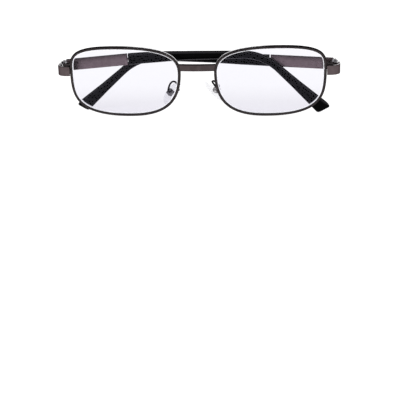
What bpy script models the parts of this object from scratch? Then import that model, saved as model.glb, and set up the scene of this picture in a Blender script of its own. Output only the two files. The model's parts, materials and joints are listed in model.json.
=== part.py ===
"""Folding reading glasses, temples folded, standing on the rims and the two temple tips.

Metres, +Z up. The front faces -Y and +X is on the viewer's right, so the wearer's right
temple hinges at -X. The origin is under the middle of the bounding box, on the ground.
"""

from math import atan, cos, pi, radians, sin, tan

import bmesh
import bpy
from mathutils import Matrix, Vector, geometry

MM = 0.001

# Front: the rims' outline is given from the lens centre, u towards the temple, v up
LENS_X = 35.6 * MM
LENS_Z = 17.5 * MM
BASE_CURVE = 160 * MM
FRONT_Y = -6.92 * MM
OUTLINE_KNOTS = ((4.9, 17.5), (27.4, 6.0), (-2.5, -17.5), (-27.4, 3.8))
OUTLINE_REACH = ((0.98, 0.55), (0.57, 0.98), (0.50, 0.88), (0.68, 0.73))
OUTLINE_STEPS = 16
RIM_WIDTH = 1.35
RIM_GROOVE = 0.9
RIM_SECTION = (
    (0.0, -0.7), (0.25, -1.0), (1.1, -1.0), (RIM_WIDTH, -0.8), (RIM_WIDTH, -0.5),
    (RIM_GROOVE, 0.0),
    (RIM_WIDTH, 0.5), (RIM_WIDTH, 0.8), (1.1, 1.0), (0.25, 1.0), (0.0, 0.7),
)
RIM_SPLIT = 0.4 * MM
LENS_PLAY = 0.08
LENS_EDGE = 1.0
LENS_BULGE_FRONT = 0.9
LENS_BULGE_BACK = 0.3

# Bridge bar between the rims
BRIDGE_Z = 23.95 * MM
BRIDGE_HEIGHT = 3.6 * MM
BRIDGE_THICK = 1.3 * MM
BRIDGE_END = (9.25 * MM, 2.35 * MM)
BRIDGE_ARCH = 0.7 * MM
BRIDGE_FACETS = 9
CUT_GAP = 0.12

# Endpieces: a strip bent back from the rim to the hinge
STRIP_Z = 22.5 * MM
STRIP_HEIGHT = 4.8 * MM
STRIP_THICK = 1.1 * MM
STRIP_CHAMFER = 0.18 * MM
STRIP_START = Vector((63.12, 1.75)) * MM
STRIP_OUTER_X = 69.6 * MM
STRIP_BEND = 4.2 * MM

# Hinge: its axis leans back, so that the open temples slope down to the ears
HINGE = Vector((66.8, 9.4, 23.6)) * MM
HINGE_LEAN = radians(5.0)
KNUCKLE_R = 1.25 * MM
BORE_R = 0.75 * MM
SCREW_R = 0.65 * MM
HINGE_HALF = 2.2 * MM
MIDDLE_HALF = 0.7 * MM
KNUCKLE_GAP = 0.15 * MM
LEAF_OUT = (1.05 * MM, 1.65 * MM)
FRONT_LEAF_LENGTH = 3.4 * MM
TEMPLE_LEAF = (1.6 * MM, 5.6 * MM)

# Temples: a flat blade drawn out into a core wire, and a moulded sleeve over the wire.
# Each temple's bends are its slope in degrees along the blade and before the tip, where the
# bend to the tip starts, and the tip's slope
FOLD = 90.0
FOLD_SPREAD = 1.26
BLADE_OUT = 2.25 * MM
BLADE_START = 0.45 * MM
BLADE_END = 31.4 * MM
BLADE_HEIGHT = 5.8 * MM
CORE_SIZE = (1.0 * MM, 1.4 * MM)
CORE_CHAMFER = 0.25 * MM
CORE_END = 122.0 * MM
SLEEVE_START = 31.9 * MM
CAVITY_SIZE = (1.5 * MM, 1.9 * MM)
CAVITY_END = CORE_END + 0.5 * MM
LEVEL_START = 66.0 * MM
BEND_R = 26.0 * MM
TEMPLE_BENDS = {
    "right": (5.2, 0.8, 88.5 * MM, -41.9),
    "left": (3.0, 1.5, 86.9 * MM, -40.8),
}
TEMPLE_LENGTH = {"right": 138.85 * MM, "left": 135.4 * MM}
END_SLANT = radians(20)
SLEEVE_SIZES = (
    (32.0, 2.5, 5.8), (46.0, 2.5, 5.5), (60.0, 2.5, 4.6), (84.0, 2.5, 4.0),
    (108.0, 2.4, 3.75), (120.0, 2.3, 4.75), (137.0, 2.2, 7.0),
)
SLEEVE_END = ((1.2 * MM, 0.98), (0.4 * MM, 0.9), (0.0, 0.72))

# Rim locks: two blocks that the screw pulls together over the split in the rim
LOCK_Z = LENS_Z + OUTLINE_KNOTS[1][1] * MM
LOCK_BLOCK = Vector((3.0, 2.1, 2.3)) * MM
LOCK_AXIS = (LENS_X + 29.05 * MM, 3.75 * MM)
LOCK_GAP = 0.4 * MM

# Nose pads: both wire arms are bent over towards the wearer's right, so the pads differ in
# place, in cant (foot outwards) and in splay (face turned back). Depths are behind the front.
# A loop is the highest point of an arm's wire
PAD_PLACES = {
    "right": (Vector((-13.5, 10.2, 9.2)) * MM, radians(37), radians(50)),
    "left": (Vector((7.6, 10.2, 9.9)) * MM, radians(45), radians(15)),
}
PAD_LOOPS = {"right": Vector((-11.9, 5.9, 16.1)) * MM, "left": Vector((7.0, 5.9, 16.1)) * MM}
PAD_SIZE = Vector((7.4, 2.5, 13.4)) * MM
PAD_STEM = Vector((1.1, 2.1, 1.7)) * MM
STEM_SUNK = 0.2 * MM
SOCKET_PLAY = 0.1 * MM
PAD_BOX = Vector((2.6, 2.1, 3.0)) * MM
PAD_BOX_OFF = 0.65 * MM
PAD_BOX_WALLS = Vector((0.6, 0.5, 0.3)) * MM
PAD_SCREW_OFF = 1.2 * MM
ARM_WIRE_R = 0.45 * MM
ARM_ROOT = (-25.9, -5.2, 1.15)
ARM_OFF_BOX = Vector((0, 3.8, 0.3)) * MM

COLOURS = {
    "bridge": ((0.062, 0.050, 0.049), 0.32, 1.0),
    "rim": ((0.020, 0.018, 0.019), 0.30, 1.0),
    "lens": ((0.93, 0.93, 0.97), 0.03, 0.0),
    "gunmetal": ((0.145, 0.118, 0.133), 0.38, 1.0),
    "steel": ((0.42, 0.41, 0.42), 0.28, 1.0),
    "dark_steel": ((0.030, 0.028, 0.030), 0.35, 1.0),
    "sleeve": ((0.006, 0.006, 0.007), 0.30, 0.0),
    "silicone": ((0.80, 0.80, 0.80), 0.35, 0.0),
}
SIDES = (("right", -1), ("left", 1))


def clear_scene():
    for old in list(bpy.data.objects):
        bpy.data.objects.remove(old)


def new_collection(name):
    made = bpy.data.collections.new(name)
    bpy.context.scene.collection.children.link(made)
    return made


def new_material(name):
    colour, roughness, metallic = COLOURS[name]
    made = bpy.data.materials.new(name)
    made.use_nodes = True
    shader = made.node_tree.nodes["Principled BSDF"]
    shader.inputs["Base Color"].default_value = (*colour, 1.0)
    shader.inputs["Roughness"].default_value = roughness
    shader.inputs["Metallic"].default_value = metallic
    if name in ("lens", "silicone"):
        shader.inputs["Transmission Weight"].default_value = 0.9
    return made


def new_empty(name, matrix):
    made = bpy.data.objects.new(name, None)
    made.empty_display_size = 4 * MM
    GLASSES.objects.link(made)
    made.matrix_world = matrix
    return made


def add_object(name, bm, material, parent, smooth=True):
    """Put a bmesh into an object of its own, faces out, under an empty."""
    bmesh.ops.recalc_face_normals(bm, faces=bm.faces)
    mesh = bpy.data.meshes.new(name)
    bm.to_mesh(mesh)
    bm.free()
    if smooth:
        mesh.shade_smooth()
        mesh.set_sharp_from_angle(angle=radians(35))
    mesh.materials.append(MATERIALS[material])
    made = bpy.data.objects.new(name, mesh)
    GLASSES.objects.link(made)
    made.parent = parent
    return made


def loft(rings, closed=False):
    """Skin rings of equal length; an open loft gets a flat cap at each end."""
    bm = bmesh.new()
    loops = [[bm.verts.new(point) for point in ring] for ring in rings]
    count = len(rings[0])
    pairs = list(zip(loops, loops[1:]))
    if closed:
        pairs.append((loops[-1], loops[0]))
    for first, second in pairs:
        for i in range(count):
            j = (i + 1) % count
            bm.faces.new((first[i], first[j], second[j], second[i]))
    if not closed:
        bm.faces.new(loops[0])
        bm.faces.new(loops[-1])
    return bm


def box(size, centre=(0, 0, 0)):
    bm = bmesh.new()
    place = Matrix.Translation(centre) @ Matrix.Diagonal((*size, 1))
    bmesh.ops.create_cube(bm, size=1.0, matrix=place)
    return bm


def box_between(low, high):
    low, high = Vector(low), Vector(high)
    return box(high - low, (low + high) / 2)


def cylinder(radius, low, high, centre=(0, 0), segments=16):
    bm = bmesh.new()
    place = Matrix.Translation((centre[0], centre[1], (low + high) / 2))
    bmesh.ops.create_cone(
        bm, cap_ends=True, segments=segments, radius1=radius, radius2=radius,
        depth=high - low, matrix=place,
    )
    return bm


def turned(name, profile, material, parent, steps=16):
    """Turn a profile of (radius, z) points, listed from the top down, about Z."""
    bm = bmesh.new()
    points = [bm.verts.new((radius, 0, z)) for radius, z in profile]
    for first, second in zip(points, points[1:]):
        bm.edges.new((first, second))
    made = add_object(name, bm, material, parent)
    screw = made.modifiers.new("turned", "SCREW")
    screw.steps = screw.render_steps = steps
    screw.use_merge_vertices = True
    screw.merge_threshold = 1e-6
    screw.use_smooth_shade = True
    return made


def boolean(piece, bm, operation):
    """Join a shape to a piece, or cut it away; the shape is kept as a hidden guide."""
    tool = add_object(f"{piece.name}_tool_{len(piece.modifiers)}", bm, "steel", piece.parent, False)
    tool.location = piece.location
    GLASSES.objects.unlink(tool)
    CUTTERS.objects.link(tool)
    tool.hide_render = True
    tool.display_type = "WIRE"
    step = piece.modifiers.new(operation.lower(), "BOOLEAN")
    step.operation = operation
    step.solver = "EXACT"
    step.object = tool


def wire(name, points, radius, material, parent):
    """A round wire through a few points, as a smooth curve made into a mesh."""
    curve = bpy.data.curves.new(name, "CURVE")
    curve.dimensions = "3D"
    curve.bevel_depth = radius
    curve.bevel_resolution = 2
    curve.resolution_u = 4
    curve.use_fill_caps = True
    spline = curve.splines.new("BEZIER")
    spline.bezier_points.add(len(points) - 1)
    for knot, point in zip(spline.bezier_points, points):
        knot.co = point
        knot.handle_left_type = knot.handle_right_type = "AUTO"
    drawn = bpy.data.objects.new(name + "_curve", curve)
    GLASSES.objects.link(drawn)
    view = bpy.context.evaluated_depsgraph_get()
    bm = bmesh.new()
    bm.from_mesh(bpy.data.meshes.new_from_object(drawn.evaluated_get(view)))
    bmesh.ops.remove_doubles(bm, verts=bm.verts, dist=1e-6)
    bpy.data.objects.remove(drawn)
    return add_object(name, bm, material, parent)


# Front


def outline():
    """Points and inward normals round a rim, (u, v) in millimetres, from the temple side."""
    points = []
    for i in range(4):
        start, end = Vector(OUTLINE_KNOTS[i]), Vector(OUTLINE_KNOTS[(i + 1) % 4])
        leave, arrive = OUTLINE_REACH[i]
        across = end - start
        flat_first = i % 2 == 0
        out = Vector((across.x, 0)) if flat_first else Vector((0, across.y))
        back = Vector((0, across.y)) if flat_first else Vector((across.x, 0))
        points += geometry.interpolate_bezier(
            start, start + out * leave, end - back * arrive, end, OUTLINE_STEPS + 1
        )[:-1]
    points = points[OUTLINE_STEPS:] + points[:OUTLINE_STEPS]
    normals = []
    for i, point in enumerate(points):
        along = (points[(i + 1) % len(points)] - points[i - 1]).normalized()
        normals.append(Vector((along.y, -along.x)))
    return points, normals


def bent(side, u, v, depth):
    """A point of the front from lens coordinates in millimetres, on the lens's base curve."""
    u, v, depth = u * MM, v * MM, depth * MM
    return Vector((side * (LENS_X + u), depth + (u * u + v * v) / (2 * BASE_CURVE), LENS_Z + v))


def rim_rings(side, section):
    points, normals = outline()
    return [
        [bent(side, *(point + normal * inset), depth) for inset, depth in section]
        for point, normal in zip(points, normals)
    ]


def make_rim(name, side):
    rings = rim_rings(side, RIM_SECTION)
    first = [point - Vector((0, 0, RIM_SPLIT / 2)) for point in rings[0]]
    last = [point + Vector((0, 0, RIM_SPLIT / 2)) for point in rings[0]]
    add_object(f"{name}_rim", loft([first] + rings[1:] + [last]), "rim", FRONT)


def make_lens(name, side):
    """A lens from front centre over its bevelled edge to the back centre."""
    points, normals = outline()
    edge = [point + normal * (RIM_WIDTH + LENS_PLAY) for point, normal in zip(points, normals)]
    ridge = [point + normal * (RIM_GROOVE + LENS_PLAY) for point, normal in zip(points, normals)]
    shares = (0.12, 0.45, 0.75, 1.0)

    def face(share, sign, bulge):
        depth = sign * (LENS_EDGE / 2 + bulge * (1 - share * share))
        return [bent(side, *(point * share), depth) for point in edge]

    rings = [face(share, -1, LENS_BULGE_FRONT) for share in shares]
    rings.append([bent(side, *point, 0.0) for point in ridge])
    rings += [face(share, 1, LENS_BULGE_BACK) for share in reversed(shares)]
    add_object(f"{name}_lens", loft(rings), "lens", FRONT)


def make_bridge():
    """A flat bar arched forward, with its ends cut to the rims' outer sides."""
    half, end_y = BRIDGE_END
    radius = (half**2 + BRIDGE_ARCH**2) / (2 * BRIDGE_ARCH)
    reach = atan(half / (radius - BRIDGE_ARCH))
    middle_y = end_y - BRIDGE_ARCH
    rings = []
    for i in range(BRIDGE_FACETS + 1):
        angle = reach * (2 * i / BRIDGE_FACETS - 1)
        ring = []
        for out, up in chamfered(BRIDGE_THICK, BRIDGE_HEIGHT, STRIP_CHAMFER):
            r = radius - out
            ring.append((r * sin(angle), middle_y + radius - r * cos(angle), BRIDGE_Z + up))
        rings.append(ring)
    bar = add_object("bridge_bar", loft(rings), "bridge", FRONT)
    section = [
        (-CUT_GAP, -1.0 - CUT_GAP), (RIM_WIDTH + CUT_GAP, -1.0 - CUT_GAP),
        (RIM_WIDTH + CUT_GAP, 1.0 + CUT_GAP), (-CUT_GAP, 1.0 + CUT_GAP),
    ]
    for _, side in SIDES:
        boolean(bar, loft(rim_rings(side, section), closed=True), "DIFFERENCE")


def chamfered(width, height, cut):
    """A rectangle's eight points with its corners cut off, as (across, up)."""
    w, h = width / 2, height / 2
    return (
        (w, h - cut), (w - cut, h), (cut - w, h), (-w, h - cut),
        (-w, cut - h), (cut - w, -h), (w - cut, -h), (w, cut - h),
    )


def make_endpiece(name, side):
    """The strip from the rim round to the hinge; its end is square to the open temple."""
    corner = Vector((STRIP_OUTER_X - STRIP_THICK / 2 - STRIP_BEND, STRIP_START.y + STRIP_BEND))
    path = [(STRIP_START, Vector((0, 1)))]
    for i in range(7):
        turn = radians(90) * i / 6
        inward = Vector((-sin(turn), cos(turn)))
        path.append((corner - inward * STRIP_BEND, inward))
    path.append((Vector((corner.x + STRIP_BEND, HINGE.y)), Vector((-1, 0))))
    rings = []
    for centre, inward in path:
        ring = []
        for across, up in chamfered(STRIP_THICK, STRIP_HEIGHT, STRIP_CHAMFER):
            x, y = centre + inward * across
            ring.append(Vector((side * x, y, STRIP_Z + up)))
        rings.append(ring)
    for point in rings[-1]:
        point.y += (point.z - HINGE.z) * tan(HINGE_LEAN)
    add_object(f"{name}_endpiece", loft(rings), "gunmetal", FRONT)


def make_rim_lock(name, side):
    """Two drilled blocks behind the endpiece and the screw through them."""
    x, y = side * LOCK_AXIS[0], LOCK_AXIS[1]
    for part, sign, radius in (("upper", 1, 0.70), ("lower", -1, 0.75)):
        middle = LOCK_Z + sign * (LOCK_GAP + LOCK_BLOCK.z) / 2
        block = add_object(
            f"{name}_rim_lock_{part}", box(LOCK_BLOCK, (x, y, middle)), "rim", FRONT, smooth=False
        )
        hole = cylinder(radius * MM, middle - 2 * MM, middle + 2 * MM, (x, y), 12)
        boolean(block, hole, "DIFFERENCE")
    low = LOCK_Z - LOCK_GAP / 2 - LOCK_BLOCK.z
    top = LOCK_Z + LOCK_GAP / 2 + LOCK_BLOCK.z - 0.3 * MM
    screw_radius, head_radius, head = 0.6 * MM, 1.0 * MM, 0.5 * MM
    profile = (
        (0, top), (screw_radius, top), (screw_radius, low - 0.05 * MM),
        (head_radius, low - 0.05 * MM), (head_radius, low - head), (0, low - head),
    )
    screw = turned(f"{name}_rim_lock_screw", profile, "dark_steel", FRONT, steps=12)
    screw.location = (x, y, 0)
    slot = box((3 * MM, 0.3 * MM, 0.4 * MM), (0, 0, low - head))
    boolean(screw, slot, "DIFFERENCE")


# Hinge and temple, in the hinge's own frame: out from the head, back along the temple, up


def hinge_frame(side, fold_degrees):
    place = Matrix.Translation((side * HINGE.x, HINGE.y + FRONT_Y, HINGE.z))
    lean = Matrix.Rotation(-HINGE_LEAN, 4, "X")
    return place @ lean @ Matrix.Rotation(side * radians(fold_degrees), 4, "Z")


def slab(side, out, along, up):
    """A box from spans out, along and up, mirrored for the wearer's right."""
    spans = sorted((side * out[0], side * out[1]))
    return box_between((spans[0], along[0], up[0]), (spans[1], along[1], up[1]))


def make_front_leaf(name, side, frame):
    """A leaf on the endpiece with an upper and a lower knuckle."""
    inner = MIDDLE_HALF + KNUCKLE_GAP
    leaf = add_object(
        f"{name}_hinge_front_leaf",
        slab(side, LEAF_OUT, (-FRONT_LEAF_LENGTH, 0), (-HINGE_HALF, HINGE_HALF)),
        "dark_steel", frame, smooth=False,
    )
    boolean(leaf, cylinder(KNUCKLE_R, -HINGE_HALF, HINGE_HALF), "UNION")
    notch = slab(side, (-3 * MM, 3 * MM), (-1.6 * MM, 3 * MM), (-inner, inner))
    boolean(leaf, notch, "DIFFERENCE")
    boolean(leaf, cylinder(BORE_R, -2 * HINGE_HALF, 2 * HINGE_HALF, segments=12), "DIFFERENCE")


def make_hinge_screw(name, frame):
    """A cheese-head screw down the hinge's axis, with a slot."""
    under_head, head_radius, head_top = HINGE_HALF + 0.05 * MM, 1.05 * MM, HINGE_HALF + 0.5 * MM
    profile = (
        (0, head_top), (head_radius - 0.15 * MM, head_top), (head_radius, head_top - 0.15 * MM),
        (head_radius, under_head), (SCREW_R, under_head), (SCREW_R, -HINGE_HALF), (0, -HINGE_HALF),
    )
    screw = turned(f"{name}_hinge_screw", profile, "steel", frame)
    boolean(screw, box((0.32 * MM, 3 * MM, 0.5 * MM), (0, 0, head_top)), "DIFFERENCE")


def make_temple_leaf(name, side, frame):
    """A leaf on the blade with the middle knuckle."""
    leaf = add_object(
        f"{name}_hinge_temple_leaf",
        slab(side, LEAF_OUT, TEMPLE_LEAF, (-HINGE_HALF, HINGE_HALF)),
        "dark_steel", frame, smooth=False,
    )
    neck = slab(side, LEAF_OUT, (0, TEMPLE_LEAF[0] + 0.4 * MM), (-MIDDLE_HALF, MIDDLE_HALF))
    boolean(leaf, neck, "UNION")
    boolean(leaf, cylinder(KNUCKLE_R, -MIDDLE_HALF, MIDDLE_HALF), "UNION")
    boolean(leaf, cylinder(BORE_R, -HINGE_HALF, HINGE_HALF, segments=12), "DIFFERENCE")


def along_temple(name, distance):
    """A temple's centre line at a distance from the hinge: (along, up, slope)."""
    rise, level, bend_start, tip = TEMPLE_BENDS[name]
    rise, level, tip = radians(rise), radians(level), radians(tip)
    easing = LEVEL_START - BLADE_END
    stretches = (
        (BLADE_END, 0.0), (easing, (level - rise) / easing), (bend_start - LEVEL_START, 0.0),
        ((level - tip) * BEND_R, -1 / BEND_R), (1.0, 0.0),
    )
    at, slope, left = Vector((0, 0)), rise, distance
    for length, curvature in stretches:
        step = min(left, length)
        turned_to = slope + step * curvature
        if curvature:
            at += Vector((sin(turned_to) - sin(slope), cos(slope) - cos(turned_to))) / curvature
        else:
            at += Vector((cos(slope), sin(slope))) * step
        slope = turned_to
        left -= step
        if left <= 0:
            break
    return at.x, at.y, slope


def temple_ring(name, distance, section, slant=0.0):
    """A section of (out, up) points stood across a temple at a distance from the hinge."""
    side = dict(SIDES)[name]
    along, up, slope = along_temple(name, distance)
    ring = []
    for across, high in section:
        ahead = high * tan(slant)
        y = along - high * sin(slope) + ahead * cos(slope)
        z = up + high * cos(slope) + ahead * sin(slope)
        ring.append((side * (BLADE_OUT + across), y, z))
    return ring


def rounded(width, height, points=12, power=0.62):
    """A soft rectangle: an ellipse's points pushed out towards the corners."""
    found = []
    for i in range(points):
        angle = 2 * pi * (i + 0.5) / points
        c, s = cos(angle), sin(angle)
        x = width / 2 * abs(c) ** power * (1 if c > 0 else -1)
        z = height / 2 * abs(s) ** power * (1 if s > 0 else -1)
        found.append((x, z))
    return found


def sleeve_stations(name):
    """Distances along the sleeve: far apart on the straight, close in the bend."""
    _, level, start, tip = TEMPLE_BENDS[name]
    bend_length = radians(level - tip) * BEND_R
    straight = [SLEEVE_START + (start - SLEEVE_START) * i / 6 for i in range(6)]
    bend = [start + bend_length * i / 8 for i in range(9)]
    tail = TEMPLE_LENGTH[name] - bend[-1]
    return straight + bend + [bend[-1] + tail * share for share in (0.3, 0.6, 0.82)]


def sleeve_size(distance):
    """The sleeve's thickness and height at a distance, between the listed ones."""
    for first, second in zip(SLEEVE_SIZES, SLEEVE_SIZES[1:]):
        if distance <= second[0] * MM or second is SLEEVE_SIZES[-1]:
            share = (distance / MM - first[0]) / (second[0] - first[0])
            return tuple((a + (b - a) * share) * MM for a, b in zip(first[1:], second[1:]))


def make_blade(name, frame):
    """The blade from the hinge to the sleeve, and the core wire that it is drawn out into."""
    blade = chamfered(STRIP_THICK, BLADE_HEIGHT, STRIP_CHAMFER)
    core = chamfered(*CORE_SIZE, CORE_CHAMFER)
    rings = [temple_ring(name, at, blade) for at in (BLADE_START, BLADE_END)]
    stations = [at for at in sleeve_stations(name) if at < CORE_END]
    rings += [temple_ring(name, at, core) for at in [BLADE_END] + stations + [CORE_END]]
    add_object(f"{name}_temple_blade", loft(rings), "gunmetal", frame)


def make_sleeve(name, frame):
    """The sleeve: a blind hole for the core wire, and a slanted round end."""
    stations = sleeve_stations(name)
    inner = [CAVITY_END] + [at for at in reversed(stations) if at < CAVITY_END - MM]
    rings = [temple_ring(name, at, rounded(*CAVITY_SIZE)) for at in inner]
    rings += [temple_ring(name, at, rounded(*sleeve_size(at))) for at in stations]
    for back, share in SLEEVE_END:
        at = TEMPLE_LENGTH[name] - back
        thick, height = sleeve_size(at)
        rings.append(temple_ring(name, at, rounded(thick * share, height * share), END_SLANT))
    add_object(f"{name}_temple_sleeve", loft(rings), "sleeve", frame)


# Nose pads, in the pad's own frame: X across the pad, -Y into the nose, Z along the pad


def pad_frame(name, side):
    """Where a pad sits: its long axis canted outwards at the foot, its face splayed back."""
    centre, cant, splay = PAD_PLACES[name]
    turn = Matrix.Rotation(-side * (pi / 2 + splay), 4, "Z")
    return Matrix.Translation(centre) @ Matrix.Rotation(-side * cant, 4, "Y") @ turn


def make_pad(name, frame):
    """A soft drop-shaped pad, flat at the back, with a socket for its stem."""
    bm = bmesh.new()
    bmesh.ops.create_uvsphere(bm, u_segments=18, v_segments=10, radius=0.5)
    for vertex in bm.verts:
        x, y, z = vertex.co
        narrow = 1 - 0.35 * max(0.0, z + 0.1)
        back = 0.35 if y > 0 else 1.0
        vertex.co = (x * PAD_SIZE.x * narrow, y * PAD_SIZE.y * back, z * PAD_SIZE.z)
    pad = add_object(f"{name}_nose_pad", bm, "silicone", frame)
    wide, high = PAD_STEM.x / 2 + SOCKET_PLAY, PAD_STEM.z / 2 + SOCKET_PLAY
    bottom = -STEM_SUNK - SOCKET_PLAY
    socket = box_between((-wide, bottom, -high), (wide, PAD_SIZE.y, high))
    boolean(pad, socket, "DIFFERENCE")


def make_pad_stem(name, frame):
    """The metal tongue set in the pad's back, drilled for the cross screw."""
    shape = box(PAD_STEM, (0, PAD_STEM.y / 2 - STEM_SUNK, 0))
    stem = add_object(f"{name}_pad_stem", shape, "steel", frame, smooth=False)
    hole = cylinder(0.45 * MM, -PAD_BOX.x, PAD_BOX.x, segments=10)
    turn_to_screw(hole)
    boolean(stem, hole, "DIFFERENCE")


def turn_to_screw(bm):
    """Lay a shape made on Z along the pad screw, across the pad."""
    place = Matrix.Translation((0, PAD_SCREW_OFF, 0)) @ Matrix.Rotation(pi / 2, 4, "Y")
    bmesh.ops.transform(bm, verts=bm.verts, matrix=place)


def make_pad_box(name, frame):
    """A small box, open towards the pad, that the stem rocks in on a cross screw."""
    low = Vector((-PAD_BOX.x / 2, PAD_BOX_OFF, -PAD_BOX.z / 2))
    high = low + PAD_BOX
    case = add_object(f"{name}_pad_box", box_between(low, high), "steel", frame, smooth=False)
    inner_low = low + PAD_BOX_WALLS
    inner_low.y = 0
    boolean(case, box_between(inner_low, high - PAD_BOX_WALLS), "DIFFERENCE")
    hole = cylinder(0.38 * MM, -PAD_BOX.x, PAD_BOX.x, segments=10)
    turn_to_screw(hole)
    boolean(case, hole, "DIFFERENCE")


def make_pad_screw(name, frame):
    half = PAD_BOX.x / 2
    head_radius, shank_radius = 0.6 * MM, 0.3 * MM
    profile = (
        (0, half + 0.4 * MM), (head_radius, half + 0.4 * MM), (head_radius, half + 0.05 * MM),
        (shank_radius, half + 0.05 * MM), (shank_radius, -half), (0, -half),
    )
    screw = turned(f"{name}_pad_screw", profile, "steel", frame, steps=10)
    screw.location = (0, PAD_SCREW_OFF, 0)
    screw.rotation_euler = (0, pi / 2, 0)


def make_pad_arm(name, side):
    """The wire from the back of the rim, up over a loop and down to the pad box."""
    frame = pad_frame(name, side)
    box_back = frame @ Vector((0, PAD_BOX_OFF + PAD_BOX.y + 0.1 * MM, 0))
    root = bent(side, *ARM_ROOT)
    off_rim = root + Vector((0, 1.6, -0.1)) * MM
    route = [root, off_rim, PAD_LOOPS[name], frame @ ARM_OFF_BOX, box_back]
    wire(f"{name}_pad_arm", route, ARM_WIRE_R, "dark_steel", FRONT)


def make_side(name, side):
    make_rim(name, side)
    make_lens(name, side)
    make_endpiece(name, side)
    make_rim_lock(name, side)
    hinge = new_empty(f"{name}_hinge_axis", hinge_frame(side, 0))
    make_front_leaf(name, side, hinge)
    make_hinge_screw(name, hinge)
    temple = new_empty(f"{name}_temple_axis", hinge_frame(side, FOLD - side * FOLD_SPREAD))
    make_temple_leaf(name, side, temple)
    make_blade(name, temple)
    make_sleeve(name, temple)
    place = Matrix.Translation((0, FRONT_Y, 0)) @ pad_frame(name, side)
    pad = new_empty(f"{name}_pad_axis", place)
    make_pad(name, pad)
    make_pad_stem(name, pad)
    make_pad_box(name, pad)
    make_pad_screw(name, pad)
    make_pad_arm(name, side)


clear_scene()
GLASSES = new_collection("folding_reading_glasses")
CUTTERS = new_collection("cutters")
MATERIALS = {name: new_material(name) for name in COLOURS}
FRONT = new_empty("front", Matrix.Translation((0, FRONT_Y, 0)))
make_bridge()
for side_name, side_sign in SIDES:
    make_side(side_name, side_sign)
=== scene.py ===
"""Looks for the folding reading glasses: fine meshes, materials, floor, lights and camera.

Metres, in the frame's own coordinates. The front faces -Y, and the wearer's right is at -X.
"""

import json
from math import asin, copysign, cos, pi, radians, sin, tan

import bmesh
import bpy
from mathutils import Matrix, Vector, geometry


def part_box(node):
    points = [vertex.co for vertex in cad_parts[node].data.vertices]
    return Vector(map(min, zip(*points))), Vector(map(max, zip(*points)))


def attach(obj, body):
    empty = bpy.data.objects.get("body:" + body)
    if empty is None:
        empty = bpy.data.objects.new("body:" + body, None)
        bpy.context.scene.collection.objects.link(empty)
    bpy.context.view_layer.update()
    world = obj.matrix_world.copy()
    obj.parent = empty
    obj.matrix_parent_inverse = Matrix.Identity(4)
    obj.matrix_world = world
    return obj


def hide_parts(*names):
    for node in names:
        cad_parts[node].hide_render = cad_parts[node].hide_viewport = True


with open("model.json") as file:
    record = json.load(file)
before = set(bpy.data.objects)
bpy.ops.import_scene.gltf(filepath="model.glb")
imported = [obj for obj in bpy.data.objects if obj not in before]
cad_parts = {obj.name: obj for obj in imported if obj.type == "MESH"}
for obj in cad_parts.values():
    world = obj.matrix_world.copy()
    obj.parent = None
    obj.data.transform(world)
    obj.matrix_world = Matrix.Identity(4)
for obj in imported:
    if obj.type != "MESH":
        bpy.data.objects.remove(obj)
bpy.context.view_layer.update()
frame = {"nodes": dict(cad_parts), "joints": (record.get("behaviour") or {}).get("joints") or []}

MM = 0.001
SHARP_ANGLE = radians(40)
SIDES = (("right", -1), ("left", 1))
JOINTS = {joint["name"]: joint for joint in frame["joints"]}

# Front, from the frame: a rim's box gives the lens centre across; its height and the front plane
# are given
RIM_LOW, RIM_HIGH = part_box("left_rim")
LENS_X = (RIM_LOW.x + RIM_HIGH.x) / 2
LENS_Z = 17.5 * MM
BASE_CURVE = 160 * MM
FRONT_Y = -6.92 * MM
OUTLINE_KNOTS = ((4.9, 17.5), (27.4, 6.0), (-2.5, -17.5), (-27.4, 3.8))
OUTLINE_REACH = ((0.98, 0.55), (0.57, 0.98), (0.50, 0.88), (0.68, 0.73))
OUTLINE_STEPS = 64
RIM_WIDTH = 1.35
RIM_GROOVE = 0.9
RIM_SECTION = (
    (0.0, -0.7), (0.25, -1.0), (1.1, -1.0), (RIM_WIDTH, -0.8), (RIM_WIDTH, -0.5),
    (RIM_GROOVE, 0.0),
    (RIM_WIDTH, 0.5), (RIM_WIDTH, 0.8), (1.1, 1.0), (0.25, 1.0), (0.0, 0.7),
)
RIM_CORNER = 0.16
RIM_SPLIT = 0.4 * MM
LENS_PLAY = 0.08
LENS_EDGE = 1.0
LENS_BULGE_FRONT = 0.9
LENS_BULGE_BACK = 0.3
SAFETY_BEVEL = 0.26

# Endpieces
STRIP_Z = 22.5 * MM
STRIP_HEIGHT = 4.8 * MM
STRIP_THICK = 1.1 * MM
STRIP_EDGE = 0.3 * MM
STRIP_TRIM = 0.1 * MM
STRIP_END = 0.15 * MM
STRIP_START = Vector((63.12, 1.75)) * MM
STRIP_OUTER_X = 69.6 * MM
STRIP_BEND = 4.2 * MM

# Bridge
BRIDGE_HEIGHT = 3.6 * MM
BRIDGE_THICK = 1.3 * MM
BRIDGE_END = (9.25 * MM, 2.35 * MM)
BRIDGE_ARCH = 0.7 * MM
BRIDGE_EDGE = 0.6 * MM
BRIDGE_SUNK = 0.1 * MM

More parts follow.
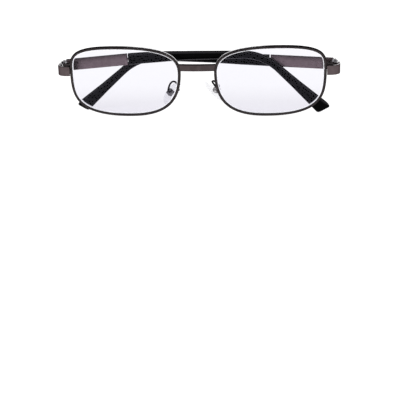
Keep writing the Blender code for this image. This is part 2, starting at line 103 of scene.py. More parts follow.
# Temples, in the hinge's own frame: out from the head, back along the temple, up. Each
# temple's bends are its slope in degrees along the blade and before the tip, where the bend to
# the tip starts, and the tip's slope
HINGE_LEAN = radians(5.0)
FOLD = 90.0
FOLD_SPREAD = 1.26
BLADE_OUT = 2.25 * MM
BLADE_START = 0.45 * MM
BLADE_END = 31.4 * MM
BLADE_HEIGHT = 5.8 * MM
BLADE_TRIM = 0.12 * MM
CORE_SIZE = (1.0 * MM, 1.4 * MM)
CORE_EDGE = 0.3 * MM
SLEEVE_START = 31.9 * MM
CORE_REACH = 4 * MM
MOUTH_PLAY = 0.15 * MM
MOUTH_DEPTH = 2 * MM
MOUTH_LIP = 0.1 * MM
SLEEVE_TRIM = 0.25 * MM
SLEEVE_TIP = 2.6 * MM
LEVEL_START = 66.0 * MM
BEND_R = 26.0 * MM
TEMPLE_BENDS = {
    "right": (5.2, 0.8, 88.5 * MM, -41.9),
    "left": (3.0, 1.5, 86.9 * MM, -40.8),
}
TEMPLE_LENGTH = {"right": 138.85 * MM, "left": 135.4 * MM}
END_SLANT = radians(20)
SLEEVE_SIZES = (
    (32.0, 2.5, 5.8), (46.0, 2.5, 5.5), (60.0, 2.5, 4.6), (84.0, 2.5, 4.0),
    (108.0, 2.4, 3.75), (120.0, 2.3, 4.75), (137.0, 2.2, 7.0),
)

# Nose pads
PAD_PLACES = {
    "right": (Vector((-13.5, 10.2, 9.2)) * MM, radians(37), radians(50)),
    "left": (Vector((7.6, 10.2, 9.9)) * MM, radians(45), radians(15)),
}
PAD_LOOPS = {"right": Vector((-11.9, 5.9, 16.1)) * MM, "left": Vector((7.0, 5.9, 16.1)) * MM}
ARM_ROOT = (-25.9, -5.2, 1.15)
ARM_OFF_RIM = Vector((0, 1.6, -0.1)) * MM
ARM_OFF_BOX = Vector((0, 3.8, 0.3)) * MM
BOX_BACK = Vector((0, 2.85, 0)) * MM
PAD_SIZE = Vector((7.4, 2.5, 13.4)) * MM
ARM_WIRE_R = 0.45 * MM

# Small parts that keep their CAD shape
WELD_REACH = 0.01 * MM
SMALL_EDGE = 0.06 * MM
SMALL_EDGE_ANGLE = radians(50)

# View: the photograph's frame is this wide at the glasses, which sit high in it
LENS_LENGTH = 100
SENSOR = 36
CLIP = (0.01, 10)
FRAME_WIDTH = 195.5 * MM
AZIMUTH = radians(5.0)
ELEVATION = radians(14.0)
ROLL = radians(1.47)
AIM_BELOW = 57.7 * MM
AIM_RIGHT = -0.1 * MM


# Mesh helpers


def loft(rings):
    """Skin rings of equal length, with a flat cap at each end."""
    bm = bmesh.new()
    loops = [[bm.verts.new(point) for point in ring] for ring in rings]
    count = len(rings[0])
    for first, second in zip(loops, loops[1:]):
        for i in range(count):
            j = (i + 1) % count
            bm.faces.new((first[i], first[j], second[j], second[i]))
    bm.faces.new(loops[0])
    bm.faces.new(loops[-1])
    return bm


def piece(name, bm, body, materials, node):
    """A finished mesh as an object that rides on a body and stands for a CAD node."""
    bmesh.ops.recalc_face_normals(bm, faces=bm.faces)
    mesh = bpy.data.meshes.new(name)
    bm.to_mesh(mesh)
    bm.free()
    mesh.shade_smooth()
    mesh.set_sharp_from_angle(angle=SHARP_ANGLE)
    for material in materials:
        mesh.materials.append(material)
    made = bpy.data.objects.new(name, mesh)
    bpy.context.scene.collection.objects.link(made)
    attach(made, body)
    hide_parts(node)


def soften(points, radius, steps=4):
    """A polygon's points with each corner drawn as a small curve."""
    found = []
    for i, corner in enumerate(points):
        corner = Vector(corner)
        before = Vector(points[i - 1]) - corner
        after = Vector(points[(i + 1) % len(points)]) - corner
        start = corner + before.normalized() * min(radius, before.length * 0.48)
        end = corner + after.normalized() * min(radius, after.length * 0.48)
        for k in range(steps + 1):
            t = k / steps
            found.append(start * (1 - t) ** 2 + corner * 2 * t * (1 - t) + end * t * t)
    return found


def rectangle(width, height):
    w, h = width / 2, height / 2
    return ((w, h), (-w, h), (-w, -h), (w, -h))


# Front shapes


def outline():
    """Points and inward normals round a rim, (u, v) in millimetres, from the temple side."""
    points = []
    for i in range(4):
        start, end = Vector(OUTLINE_KNOTS[i]), Vector(OUTLINE_KNOTS[(i + 1) % 4])
        leave, arrive = OUTLINE_REACH[i]
        across = end - start
        flat_first = i % 2 == 0
        out = Vector((across.x, 0)) if flat_first else Vector((0, across.y))
        back = Vector((0, across.y)) if flat_first else Vector((across.x, 0))
        points += geometry.interpolate_bezier(
            start, start + out * leave, end - back * arrive, end, OUTLINE_STEPS + 1
        )[:-1]
    points = points[OUTLINE_STEPS:] + points[:OUTLINE_STEPS]
    normals = []
    for i, point in enumerate(points):
        along = (points[(i + 1) % len(points)] - points[i - 1]).normalized()
        normals.append(Vector((along.y, -along.x)))
    return points, normals


OUTLINE = outline()


def bent(side, u, v, depth):
    """A point of the front from lens coordinates in millimetres, on the lens's base curve."""
    u, v, depth = u * MM, v * MM, depth * MM
    y = FRONT_Y + depth + (u * u + v * v) / (2 * BASE_CURVE)
    return Vector((side * (LENS_X + u), y, LENS_Z + v))


def make_rim(name, side):
    section = soften(RIM_SECTION, RIM_CORNER)
    rings = [
        [bent(side, *(point + normal * inset), depth) for inset, depth in section]
        for point, normal in zip(*OUTLINE)
    ]
    first = [point - Vector((0, 0, RIM_SPLIT / 2)) for point in rings[0]]
    last = [point + Vector((0, 0, RIM_SPLIT / 2)) for point in rings[0]]
    bm = loft([first] + rings[1:] + [last])
    piece(f"{name}_rim_wire", bm, "front", [RIM], f"{name}_rim")


def make_lens(name, side):
    """A lens from front centre over its bevelled edge to the back centre."""
    points, normals = OUTLINE
    edge = [point + normal * (RIM_WIDTH + LENS_PLAY) for point, normal in zip(points, normals)]
    ridge = [point + normal * (RIM_GROOVE + LENS_PLAY) for point, normal in zip(points, normals)]
    inner = [
        point + normal * (RIM_WIDTH + LENS_PLAY + SAFETY_BEVEL)
        for point, normal in zip(points, normals)
    ]

    def face(share, sign, bulge):
        depth = sign * (LENS_EDGE / 2 + bulge * (1 - share * share))
        return [bent(side, *(point * share), depth) for point in inner]

    steps = 12
    centre_share = 0.03
    shares = [centre_share] + [i / steps for i in range(1, steps + 1)]
    rings = [face(share, -1, LENS_BULGE_FRONT) for share in shares]
    rings.append([bent(side, *point, -LENS_EDGE / 2) for point in edge])
    rings.append([bent(side, *point, 0.0) for point in ridge])
    rings.append([bent(side, *point, LENS_EDGE / 2) for point in edge])
    rings += [face(share, 1, LENS_BULGE_BACK) for share in reversed(shares)]
    bm = loft(rings)
    bm.faces.ensure_lookup_table()
    around = len(points)
    for i, polygon in enumerate(bm.faces):
        ring = i // around
        if len(shares) - 1 <= ring < len(shares) + 3:
            polygon.material_index = 1
    piece(f"{name}_lens_fine", bm, "front", [LENS, LENS_BEVEL], f"{name}_lens")


def make_bridge():
    """A flat bar arched forward between the rims."""
    half, end_y = BRIDGE_END
    centre_z = sum(corner.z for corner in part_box("bridge_bar")) / 2
    radius = (half**2 + BRIDGE_ARCH**2) / (2 * BRIDGE_ARCH)
    reach = asin(half / radius)
    middle_y = FRONT_Y + end_y - BRIDGE_ARCH
    section = soften(rectangle(BRIDGE_THICK, BRIDGE_HEIGHT), BRIDGE_EDGE)
    rings = []
    steps = 48
    for i in range(steps + 1):
        angle = reach * (2 * i / steps - 1)
        ring = []
        for out, up in section:
            r = radius - out
            ring.append(Vector((r * sin(angle), middle_y + radius - r * cos(angle), centre_z + up)))
        rings.append(ring)
    for ring in (rings[0], rings[-1]):
        for point in ring:
            point.x = copysign(nasal_x(point.z), point.x)
    piece("bridge_bar_fine", loft(rings), "front", [BRIDGE_PAINTED_DARKER], "bridge_bar")


def nasal_x(z):
    """How far from the middle the rims' outer side is at a height, on the nose's side."""
    v = (z - LENS_Z) / MM
    near = min((point for point in OUTLINE[0] if point.x < 0), key=lambda point: abs(point.y - v))
    return LENS_X + near.x * MM + BRIDGE_SUNK


def make_endpiece(name, side):
    """The strip from the rim round to the hinge, with softened edges."""
    hinge = Vector(JOINTS[f"{name}_temple_hinge"]["pos_m"])
    start = STRIP_START + Vector((0, FRONT_Y))
    corner = Vector((STRIP_OUTER_X - STRIP_THICK / 2 - STRIP_BEND, start.y + STRIP_BEND))
    path = [(start, Vector((0, 1))), (start + Vector((STRIP_END, 0)), Vector((0, 1)))]
    steps = 24
    for i in range(steps + 1):
        turn = pi / 2 * i / steps
        inward = Vector((-sin(turn), cos(turn)))
        path.append((corner - inward * STRIP_BEND, inward))
    end = Vector((corner.x + STRIP_BEND, hinge.y))
    path += [(end - Vector((0, STRIP_END)), Vector((-1, 0))), (end, Vector((-1, 0)))]
    rings = []
    for i, (centre, inward) in enumerate(path):
        shrink = 2 * STRIP_TRIM if i in (0, len(path) - 1) else 0
        ring = []
        section = soften(rectangle(STRIP_THICK - shrink, STRIP_HEIGHT - shrink), STRIP_EDGE)
        for across, up in section:
            x, y = centre + inward * across
            ring.append(Vector((side * x, y, STRIP_Z + up)))
        rings.append(ring)
    for ring in rings[-2:]:
        for point in ring:
            point.y += (point.z - hinge.z) * tan(HINGE_LEAN)
    piece(
        f"{name}_endpiece_fine", loft(rings), "front", [GUNMETAL], f"{name}_endpiece"
    )


# Temple shapes


def temple_matrix(name, side):
    """The folded temple's own frame: hinge joint, backward lean and fold."""
    place = Matrix.Translation(JOINTS[f"{name}_temple_hinge"]["pos_m"])
    fold = Matrix.Rotation(side * radians(FOLD - side * FOLD_SPREAD), 4, "Z")
    return place @ Matrix.Rotation(-HINGE_LEAN, 4, "X") @ fold


TEMPLE_PLACES = {side_name: temple_matrix(side_name, sign) for side_name, sign in SIDES}


def along_temple(name, distance):
    """A temple's centre line at a distance from the hinge: (along, up, slope)."""
    rise, level, bend_start, tip = TEMPLE_BENDS[name]
    rise, level, tip = radians(rise), radians(level), radians(tip)
    easing = LEVEL_START - BLADE_END
    stretches = (
        (BLADE_END, 0.0), (easing, (level - rise) / easing), (bend_start - LEVEL_START, 0.0),
        ((level - tip) * BEND_R, -1 / BEND_R), (1.0, 0.0),
    )
    at, slope, left = Vector((0, 0)), rise, distance
    for length, curvature in stretches:
        step = min(left, length)
        turned_to = slope + step * curvature
        if curvature:
            at += Vector((sin(turned_to) - sin(slope), cos(slope) - cos(turned_to))) / curvature
        else:
            at += Vector((cos(slope), sin(slope))) * step
        slope = turned_to
        left -= step
        if left <= 0:
            break
    return at.x, at.y, slope


def temple_ring(name, distance, section, slant=0.0):
    """A section of (out, up) points stood across the temple at a distance from the hinge."""
    matrix, side = TEMPLE_PLACES[name], dict(SIDES)[name]
    along, up, slope = along_temple(name, distance)
    ring = []
    for across, high in section:
        ahead = high * tan(slant)
        y = along - high * sin(slope) + ahead * cos(slope)
        z = up + high * cos(slope) + ahead * sin(slope)
        ring.append(matrix @ Vector((side * (BLADE_OUT + across), y, z)))
    return ring


def rounded(width, height, points=40, power=0.62):
    """A soft rectangle: an ellipse's points pushed out towards the corners."""
    found = []
    for i in range(points):
        angle = 2 * pi * (i + 0.5) / points
        c, s = cos(angle), sin(angle)
        found.append((
            copysign(width / 2 * abs(c) ** power, c), copysign(height / 2 * abs(s) ** power, s)
        ))
    return found


def sleeve_size(distance):
    """The sleeve's thickness and height at a distance, smoothly between the listed ones."""
    for first, second in zip(SLEEVE_SIZES, SLEEVE_SIZES[1:]):
        if distance <= second[0] * MM or second is SLEEVE_SIZES[-1]:
            share = (distance / MM - first[0]) / (second[0] - first[0])
            return tuple((a + (b - a) * share) * MM for a, b in zip(first[1:], second[1:]))


def make_blade(name):
    """The blade, and the start of the core wire that it is drawn out into."""
    full = soften(rectangle(STRIP_THICK, BLADE_HEIGHT), STRIP_EDGE)
    small_size = (STRIP_THICK - 2 * BLADE_TRIM, BLADE_HEIGHT - 2 * BLADE_TRIM)
    small = soften(rectangle(*small_size), STRIP_EDGE - BLADE_TRIM)
    core = soften(rectangle(*CORE_SIZE), CORE_EDGE)
    length = BLADE_END - BLADE_START
    stations = [(BLADE_START, small), (BLADE_START + BLADE_TRIM, full)]
    stations += [(BLADE_START + length * i / 8, full) for i in range(1, 8)]
    stations += [(BLADE_END - BLADE_TRIM, full), (BLADE_END, small), (BLADE_END, core)]
    stations.append((BLADE_END + CORE_REACH, core))
    rings = [temple_ring(name, at, section) for at, section in stations]
    piece(
        f"{name}_temple_blade_fine", loft(rings), f"{name}_temple", [BLADE_PAINTED_LIGHTER],
        f"{name}_temple_blade",
    )


def make_sleeve(name):
    """The moulded sleeve with its slanted round end and the mouth that the core enters."""
    length = TEMPLE_LENGTH[name]
    mouth = soften(rectangle(*(size + 2 * MOUTH_PLAY for size in CORE_SIZE)), CORE_EDGE, 9)
    from_side = mouth[5:] + mouth[:5]
    rings = [
        temple_ring(name, SLEEVE_START + depth, from_side) for depth in (MOUTH_DEPTH, MOUTH_LIP)
    ]
    thick, height = sleeve_size(SLEEVE_START)
    face = rounded(thick - SLEEVE_TRIM, height - SLEEVE_TRIM)
    rings.append(temple_ring(name, SLEEVE_START, face))
    steps = 110
    body_start = SLEEVE_START + SLEEVE_TRIM / 2
    body_end = length - SLEEVE_TIP
    for i in range(steps + 1):
        at = body_start + (body_end - body_start) * i / steps
        rings.append(temple_ring(name, at, rounded(*sleeve_size(at))))
    end_steps = 10
    for i in range(1, end_steps + 1):
        turn = pi / 2 * i / end_steps
        at = body_end + (length - body_end) * sin(turn)
        share = 0.55 + 0.45 * cos(turn) ** 0.8
        thick, height = sleeve_size(at)
        section = rounded(thick * (0.35 + 0.65 * cos(turn) ** 0.7), height * share)
        rings.append(temple_ring(name, at, section, END_SLANT * sin(turn)))
    piece(
        f"{name}_temple_sleeve_fine", loft(rings), f"{name}_temple", [SLEEVE],
        f"{name}_temple_sleeve",
    )


# Nose pads


def pad_matrix(name, side):
    """Where a pad sits: its long axis canted outwards at the foot, its face splayed back."""
    centre, cant, splay = PAD_PLACES[name]
    place = Matrix.Translation(centre + Vector((0, FRONT_Y, 0)))
    turn = Matrix.Rotation(-side * (pi / 2 + splay), 4, "Z")
    return place @ Matrix.Rotation(-side * cant, 4, "Y") @ turn


def make_pad(name, side):
    """A soft drop-shaped pad, flat at the back."""
    bm = bmesh.new()
    bmesh.ops.create_uvsphere(bm, u_segments=64, v_segments=36, radius=0.5)
    for vertex in bm.verts:
        x, y, z = vertex.co
        narrow = 1 - 0.35 * max(0.0, z + 0.1)
        back = 0.35 if y > 0 else 1.0
        vertex.co = (x * PAD_SIZE.x * narrow, y * PAD_SIZE.y * back, z * PAD_SIZE.z)
    bmesh.ops.transform(bm, matrix=pad_matrix(name, side), verts=bm.verts)
    piece(f"{name}_nose_pad_fine", bm, f"{name}_pad", [SILICONE], f"{name}_nose_pad")


def make_pad_arm(name, side):
    """The wire from the back of the rim, up over a loop and down to the pad box."""
    matrix = pad_matrix(name, side)
    root = bent(side, *ARM_ROOT)
    loop = PAD_LOOPS[name] + Vector((0, FRONT_Y, 0))
    route = [root, root + ARM_OFF_RIM, loop, matrix @ ARM_OFF_BOX, matrix @ BOX_BACK]
    curve = bpy.data.curves.new(f"{name}_pad_arm_fine", "CURVE")
    curve.dimensions = "3D"
    curve.bevel_depth = ARM_WIRE_R
    curve.bevel_resolution = 6
    curve.resolution_u = 16
    curve.use_fill_caps = True
    spline = curve.splines.new("BEZIER")
    spline.bezier_points.add(len(route) - 1)
    for knot, point in zip(spline.bezier_points, route):
        knot.co = point
        knot.handle_left_type = knot.handle_right_type = "AUTO"
    curve.materials.append(HINGE_STEEL)
    made = bpy.data.objects.new(curve.name, curve)
    bpy.context.scene.collection.objects.link(made)
    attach(made, "front")
    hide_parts(f"{name}_pad_arm")


# Materials


class Tree:
    """A short way to add and join a material's nodes."""

    def __init__(self, name):
        self.material = bpy.data.materials.get(name) or bpy.data.materials.new(name)
        self.material.use_nodes = True
        self.nodes = self.material.node_tree.nodes
        self.shader = self.nodes["Principled BSDF"]
        self.output = self.nodes["Material Output"]

    def add(self, kind, links=None, **values):
        node = self.nodes.new(kind)
        for key, value in values.items():
            if key in node.inputs:
                node.inputs[key].default_value = value
            else:
                setattr(node, key, value)
        for key, source in (links or {}).items():
            self.join(source, node.inputs[key])
        return node

    def join(self, source, socket):
        self.material.node_tree.links.new(source, socket)

    def place(self, scale=(1, 1, 1)):
        """Object coordinates stretched by a scale."""
        where = self.add("ShaderNodeTexCoord")
        mapping = self.add("ShaderNodeMapping", {"Vector": where.outputs["Object"]})
        mapping.inputs["Scale"].default_value = scale
        return mapping.outputs["Vector"]

    def noise(self, scale, detail=4.0, stretch=(1, 1, 1)):
        links = {"Vector": self.place(stretch)}
        return self.add("ShaderNodeTexNoise", links, Scale=scale, Detail=detail).outputs["Fac"]

    def ramp(self, source, stops):
        node = self.add("ShaderNodeValToRGB", {"Fac": source})
        ends = node.color_ramp.elements
        while len(ends) < len(stops):
            ends.new(0.5)
        for end, (position, colour) in zip(ends, stops):
            end.position = position
            end.color = (*colour, 1.0)
        return node.outputs["Color"]

    def spread(self, source, low, high, source_low=0.0, source_high=1.0):
        node = self.add("ShaderNodeMapRange", {"Value": source})
        ends = {"From Min": source_low, "From Max": source_high, "To Min": low, "To Max": high}
        for key, value in ends.items():
            node.inputs[key].default_value = value
        return node.outputs["Result"]

    def maths(self, operation, *sources):
        node = self.add("ShaderNodeMath", operation=operation)
        for key, source in enumerate(sources):
            self.join(source, node.inputs[key])
        return node.outputs[0]

    def bump(self, height, strength, distance):
        links = {"Height": height}
        node = self.add("ShaderNodeBump", links, Strength=strength, Distance=distance)
        self.join(node.outputs["Normal"], self.shader.inputs["Normal"])


def metal(name, dark, light, rough, brush=(60, 900, 2400), top=None, grain=0.25):
    """Plated steel: two close tones and fine brush lines; top gives painted light on its upper
    edges.

    The first of them is painted shade for edges that slope up, and the second is painted on those
    that lie flat: a highlight where it is light and shade where it is dark.
    """
    tree = Tree(name)
    tree.shader.inputs["Metallic"].default_value = 1.0
    tree.shader.inputs["Specular Tint"].default_value = (0.3, 0.3, 0.3, 1.0)
    tone = tree.ramp(tree.noise(420, 3.0), ((0.35, dark), (0.68, light)))
    if top:
        # Painted light by facing: edges sloping up get painted shade, flat tops get the flat colour
        split = tree.add("ShaderNodeSeparateXYZ")
        tree.join(tree.add("ShaderNodeTexCoord").outputs["Normal"], split.inputs[0])
        sloping, flat = top
        edges = tree.ramp(split.outputs["Z"], ((0.0, sloping), (0.80, sloping), (0.90, flat)))
        share = tree.ramp(split.outputs["Z"], ((0.10, (0, 0, 0)), (0.2, (1, 1, 1))))
        mixed = tree.add("ShaderNodeMix", data_type="RGBA")
        for key, source in ((0, share), (6, tone), (7, edges)):
            tree.join(source, mixed.inputs[key])
        tone = mixed.outputs[2]
    tree.join(tone, tree.shader.inputs["Base Color"])
    lines = tree.noise(1.0, 2.0, brush)
    tree.join(tree.spread(lines, rough - 0.07, rough + 0.09), tree.shader.inputs["Roughness"])
    tree.bump(lines, grain, 0.00002)
    return tree.material


def paint_nose_edge_highlight(material):
    """A painted highlight: a bright line on the rims' outer side, where it faces up towards the
    nose.
    """
    tree = Tree(material.name)
    where = tree.add("ShaderNodeTexCoord")
    facing, place = (tree.add("ShaderNodeSeparateXYZ") for _ in range(2))
    tree.join(where.outputs["Normal"], facing.inputs[0])
    tree.join(where.outputs["Object"], place.inputs[0])
    towards_nose = tree.maths("MULTIPLY", facing.outputs["X"], place.outputs["X"])
    nose_share = tree.spread(towards_nose, 0.0, 1.0, -0.001, -0.004)
    up_share = tree.spread(facing.outputs["Z"], 0.0, 1.0, 0.15, 0.3)
    depth = tree.maths("ABSOLUTE", facing.outputs["Y"])
    side_share = tree.spread(depth, 1.0, 0.0, 0.25, 0.45)
    share = tree.maths("MULTIPLY", tree.maths("MULTIPLY", nose_share, up_share), side_share)
    colour = tree.shader.inputs["Base Color"]
    mixed = tree.add("ShaderNodeMix", data_type="RGBA")
    tree.join(share, mixed.inputs[0])
    tree.join(colour.links[0].from_socket, mixed.inputs[6])
    mixed.inputs[7].default_value = (*PAINTED_NOSE_HIGHLIGHT, 1.0)
    tree.join(mixed.outputs[2], colour)
    tree.join(tree.spread(share, 1.0, 0.0), tree.shader.inputs["Metallic"])


def sleeve_material():
    """Black acetate, with painted reflections as lighter bands on its edges below and at the top of
    its sides.
    """
    tree = Tree("black_acetate")
    split = tree.add("ShaderNodeSeparateXYZ")
    tree.join(tree.add("ShaderNodeTexCoord").outputs["Normal"], split.inputs[0])
    height = tree.spread(split.outputs["Z"], 0.0, 1.0, -1.0, 1.0)
    # Painted reflections: a lighter band on edges facing down and another at the top of the sides
    black, under, over = (0.0006, 0.0006, 0.0007), (0.075, 0.072, 0.080), (0.030, 0.029, 0.032)
    stops = (
        (0.0, black), (0.10, under), (0.24, under), (0.33, black), (0.58, black), (0.66, over),
        (0.74, over), (0.80, black),
    )
    tree.join(tree.ramp(height, stops), tree.shader.inputs["Base Color"])
    marks = tree.noise(1.0, 5.0, (900, 900, 300))
    tree.join(tree.spread(marks, 0.22, 0.30), tree.shader.inputs["Roughness"])
    tree.shader.inputs["Specular IOR Level"].default_value = 0.03
    tree.bump(marks, 0.02, 0.00002)
    return tree.material


def lens_material():
    """A coated lens: a violet tint, darkened towards its foot by painted shade, and a faint
    reflection.

    Only its outer sides reflect, because light inside it isn't bent and would be trapped there.
    """
    tree = Tree("coated_lens")
    split = tree.add("ShaderNodeSeparateXYZ")
    tree.join(tree.add("ShaderNodeTexCoord").outputs["Object"], split.inputs[0])
    height = tree.spread(split.outputs["Z"], 0.0, 1.0, 0.0, 2 * LENS_Z)
    # Painted shade: the tint darkens towards the lens's foot
    stops = ((0.0, LENS_PAINTED_FOOT_SHADE), (0.45, LENS_TINT), (1.0, LENS_TINT))
    through = tree.add("ShaderNodeBsdfTransparent", {"Color": tree.ramp(height, stops)})
    gloss = tree.add("ShaderNodeBsdfGlossy", Color=(0.85, 0.82, 1.0, 1.0), Roughness=0.02)
    fresnel = tree.add("ShaderNodeFresnel", IOR=1.26)
    outside = tree.spread(tree.add("ShaderNodeNewGeometry").outputs["Backfacing"], 1.0, 0.0)
    share = tree.maths("MULTIPLY", fresnel.outputs[0], outside)
    mixed = tree.add("ShaderNodeMixShader")
    for key, source in enumerate((share, through.outputs[0], gloss.outputs[0])):
        tree.join(source, mixed.inputs[key])
    tree.join(mixed.outputs[0], tree.output.inputs["Surface"])
    return tree.material


def lens_bevel_material():
    """The lens's ground edge: white, fine and half clear, with a painted glow for the light the
    edge catches.
    """
    tree = Tree("ground_lens_edge")
    grain = tree.noise(2600, 2.0)
    tree.join(
        tree.ramp(grain, ((0.3, (0.86, 0.86, 0.89)), (0.7, (0.97, 0.97, 1.0)))),
        tree.shader.inputs["Base Color"],
    )
    tree.shader.inputs["Roughness"].default_value = 0.5
    # Painted light: the edge glows, standing in for the light it catches
    tree.shader.inputs["Emission Color"].default_value = (0.95, 0.95, 1.0, 1.0)
    tree.shader.inputs["Emission Strength"].default_value = 0.35
    through = tree.add("ShaderNodeBsdfTransparent", Color=(0.98, 0.98, 1.0, 1.0))
    mixed = tree.add("ShaderNodeMixShader")
    mixed.inputs[0].default_value = 0.7
    tree.join(through.outputs[0], mixed.inputs[1])
    tree.join(tree.shader.outputs[0], mixed.inputs[2])
    tree.join(mixed.outputs[0], tree.output.inputs["Surface"])
    return tree.material


def silicone_material():
    """Clear silicone: mostly see-through, milky at the rim, softly shiny."""
    tree = Tree("clear_silicone")
    cloud = tree.noise(500, 2.0)
    tree.join(
        tree.ramp(cloud, ((0.3, (0.80, 0.81, 0.82)), (0.7, (0.93, 0.93, 0.94)))),
        tree.shader.inputs["Base Color"],
    )
    tree.join(tree.spread(cloud, 0.22, 0.4), tree.shader.inputs["Roughness"])
    through = tree.add("ShaderNodeBsdfTransparent", Color=(0.97, 0.97, 0.98, 1.0))
    facing = tree.add("ShaderNodeLayerWeight", Blend=0.35)
    amount = tree.spread(facing.outputs["Facing"], 0.05, 0.42)
    mixed = tree.add("ShaderNodeMixShader")
    tree.join(amount, mixed.inputs[0])
    tree.join(through.outputs[0], mixed.inputs[1])
    tree.join(tree.shader.outputs[0], mixed.inputs[2])
    tree.join(mixed.outputs[0], tree.output.inputs["Surface"])
    return tree.material


def floor_material():
    """A white studio floor that is lit evenly, with only faint shadows."""
    tree = Tree("white_floor")
    tree.shader.inputs["Base Color"].default_value = (0.5, 0.5, 0.5, 1.0)
    tree.shader.inputs["Roughness"].default_value = 0.9
    tree.shader.inputs["Specular IOR Level"].default_value = 0.0
    tree.shader.inputs["Emission Color"].default_value = (1.0, 1.0, 1.0, 1.0)
    tree.shader.inputs["Emission Strength"].default_value = 0.9
    return tree.material


# Painted light for the metals' upper edges: shade for edges that slope up, highlights for flat tops
PAINTED_EDGE_SHADE = (0.012, 0.010, 0.011)
PAINTED_SILVER_HIGHLIGHT = (0.42, 0.40, 0.41)
PAINTED_STEEL_HIGHLIGHT = (0.48, 0.46, 0.47)
# Painted highlight colour for the rims' nose edge
PAINTED_NOSE_HIGHLIGHT = (0.85, 0.84, 0.86)
LENS_TINT = (0.885, 0.882, 0.905)
# Painted shade for the lens's foot
LENS_PAINTED_FOOT_SHADE = (0.835, 0.828, 0.860)
# Edges sloping up painted dark as shade, flat tops painted light as a highlight
GUNMETAL = metal(
    "gunmetal_satin", (0.090, 0.069, 0.072), (0.112, 0.087, 0.091), 0.36, top=(PAINTED_EDGE_SHADE, PAINTED_STEEL_HIGHLIGHT)
)
# Painted light: a lighter copy of the same gunmetal plating, for the light the blade catches behind
# the lenses
BLADE_PAINTED_LIGHTER = metal(
    "gunmetal_light", (0.204, 0.155, 0.168), (0.246, 0.188, 0.203), 0.36, top=(PAINTED_EDGE_SHADE, PAINTED_SILVER_HIGHLIGHT)
)
# Painted shade: a darker copy of the same gunmetal plating, with its upper edges painted dark too
BRIDGE_PAINTED_DARKER = metal(
    "gunmetal_dark", (0.060, 0.048, 0.049), (0.080, 0.064, 0.065), 0.32, top=(PAINTED_EDGE_SHADE, PAINTED_EDGE_SHADE)
)
# The rims' upper sides are painted dark as shade
RIM = metal(
    "rim_gunmetal", (0.028, 0.024, 0.025), (0.045, 0.038, 0.039), 0.26, (900, 900, 900),
    top=(PAINTED_EDGE_SHADE, PAINTED_EDGE_SHADE), grain=0.08,
)
# Painted highlight on the rims' nose edge
paint_nose_edge_highlight(RIM)
# Edges sloping up painted dark as shade, flat tops painted silver as a highlight
HINGE_STEEL = metal(
    "hinge_steel", (0.010, 0.009, 0.010), (0.020, 0.018, 0.020), 0.34, top=(PAINTED_EDGE_SHADE, PAINTED_SILVER_HIGHLIGHT)
)
SCREW_STEEL = metal("screw_steel", (0.42, 0.41, 0.42), (0.56, 0.55, 0.56), 0.26, (900, 900, 900))
PAD_STEEL = metal("pad_steel", (0.15, 0.145, 0.15), (0.26, 0.25, 0.26), 0.26, (900, 900, 900))
SLEEVE = sleeve_material()
LENS = lens_material()
LENS_BEVEL = lens_bevel_material()
SILICONE = silicone_material()
CAD_MATERIALS = {
    "rim_lock_upper": RIM, "rim_lock_lower": RIM, "rim_lock_screw": HINGE_STEEL,
    "hinge_front_leaf": SCREW_STEEL, "hinge_temple_leaf": GUNMETAL,
    "hinge_screw": SCREW_STEEL, "pad_box": PAD_STEEL, "pad_screw": SCREW_STEEL,
    "pad_stem": PAD_STEEL,
}


def dress_cad_nodes(name):
    """Small parts keep their CAD shape: new material, welded corners, soft edges."""
    for part, material in CAD_MATERIALS.items():
        node = frame["nodes"][f"{name}_{part}"]
        node.data.materials.clear()
        node.data.materials.append(material)
        weld = node.modifiers.new("weld", "WELD")
        weld.merge_threshold = WELD_REACH
        bevel = node.modifiers.new("soft_edges", "BEVEL")
        bevel.width = SMALL_EDGE
        bevel.segments = 2
        bevel.limit_method = "ANGLE"
        bevel.angle_limit = SMALL_EDGE_ANGLE
        bevel.harden_normals = True


# Stage


def make_floor():
    bm = bmesh.new()
    bmesh.ops.create_grid(bm, x_segments=8, y_segments=8, size=3.0)
    mesh = bpy.data.meshes.new("studio_floor")
    bm.to_mesh(mesh)
    bm.free()
    mesh.materials.append(floor_material())
    floor = bpy.data.objects.new("studio_floor", mesh)
    bpy.context.scene.collection.objects.link(floor)


def area_light(name, place, size, power):
    light = bpy.data.lights.new(name, "AREA")
    light.shape = "RECTANGLE"
    light.size, light.size_y = size
    light.energy = power
    made = bpy.data.objects.new(name, light)
    made.location = place
    aim = Vector((0, 0, LENS_Z)) - Vector(place)
    made.rotation_euler = aim.to_track_quat("-Z", "Y").to_euler()
    bpy.context.scene.collection.objects.link(made)


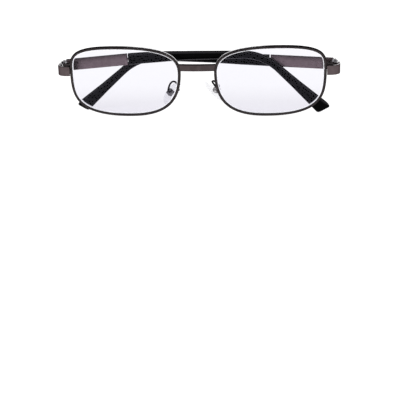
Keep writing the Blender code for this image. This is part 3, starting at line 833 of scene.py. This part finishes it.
def make_lights():
    world = bpy.data.worlds.new("studio")
    world.use_nodes = True
    tree = world.node_tree
    background = tree.nodes["Background"]
    where = tree.nodes.new("ShaderNodeTexCoord")
    split = tree.nodes.new("ShaderNodeSeparateXYZ")
    ramp = tree.nodes.new("ShaderNodeValToRGB")
    tree.links.new(where.outputs["Generated"], split.inputs[0])
    tree.links.new(split.outputs["Z"], ramp.inputs["Fac"])
    tree.links.new(ramp.outputs["Color"], background.inputs["Color"])
    stops = ((0.0, 1.02), (0.35, 0.95), (0.75, 0.15), (1.0, 0.05))
    while len(ramp.color_ramp.elements) < len(stops):
        ramp.color_ramp.elements.new(0.5)
    for end, (position, level) in zip(ramp.color_ramp.elements, stops):
        end.position = position
        end.color = (level, level, level, 1.0)
    bpy.context.scene.world = world
    area_light("key", (-0.25, -0.35, 0.55), (0.4, 0.25), 0.8)
    area_light("back", (0.05, 0.5, 0.4), (0.5, 0.15), 1.0)


def make_camera():
    """The camera stands square to the view line and aims below the glasses."""
    data = bpy.data.cameras.new("camera")
    data.lens = LENS_LENGTH
    data.sensor_width = SENSOR
    data.clip_start, data.clip_end = CLIP
    camera = bpy.data.objects.new("camera", data)
    bpy.context.scene.collection.objects.link(camera)
    bpy.context.scene.camera = camera
    distance = FRAME_WIDTH * LENS_LENGTH / SENSOR
    down = Vector((AIM_RIGHT, AIM_BELOW)) / distance
    target = Vector((0, FRONT_Y, LENS_Z))
    back = Vector((sin(AZIMUTH) * cos(ELEVATION), -cos(AZIMUTH) * cos(ELEVATION), sin(ELEVATION)))
    camera.location = target + back * distance * (1 + down.length_squared) ** 0.5
    turn = Matrix.Rotation(AZIMUTH - down.x, 4, "Z")
    tilt = Matrix.Rotation(pi / 2 - ELEVATION - down.y, 4, "X")
    place = Matrix.Translation(camera.location)
    camera.matrix_world = place @ turn @ tilt @ Matrix.Rotation(-ROLL, 4, "Z")


make_camera()
make_floor()
make_lights()
make_bridge()
for side_name, side_sign in SIDES:
    make_rim(side_name, side_sign)
    make_lens(side_name, side_sign)
    make_endpiece(side_name, side_sign)
    make_blade(side_name)
    make_sleeve(side_name)
    make_pad(side_name, side_sign)
    make_pad_arm(side_name, side_sign)
    dress_cad_nodes(side_name)
bpy.context.scene.view_settings.view_transform = "Standard"
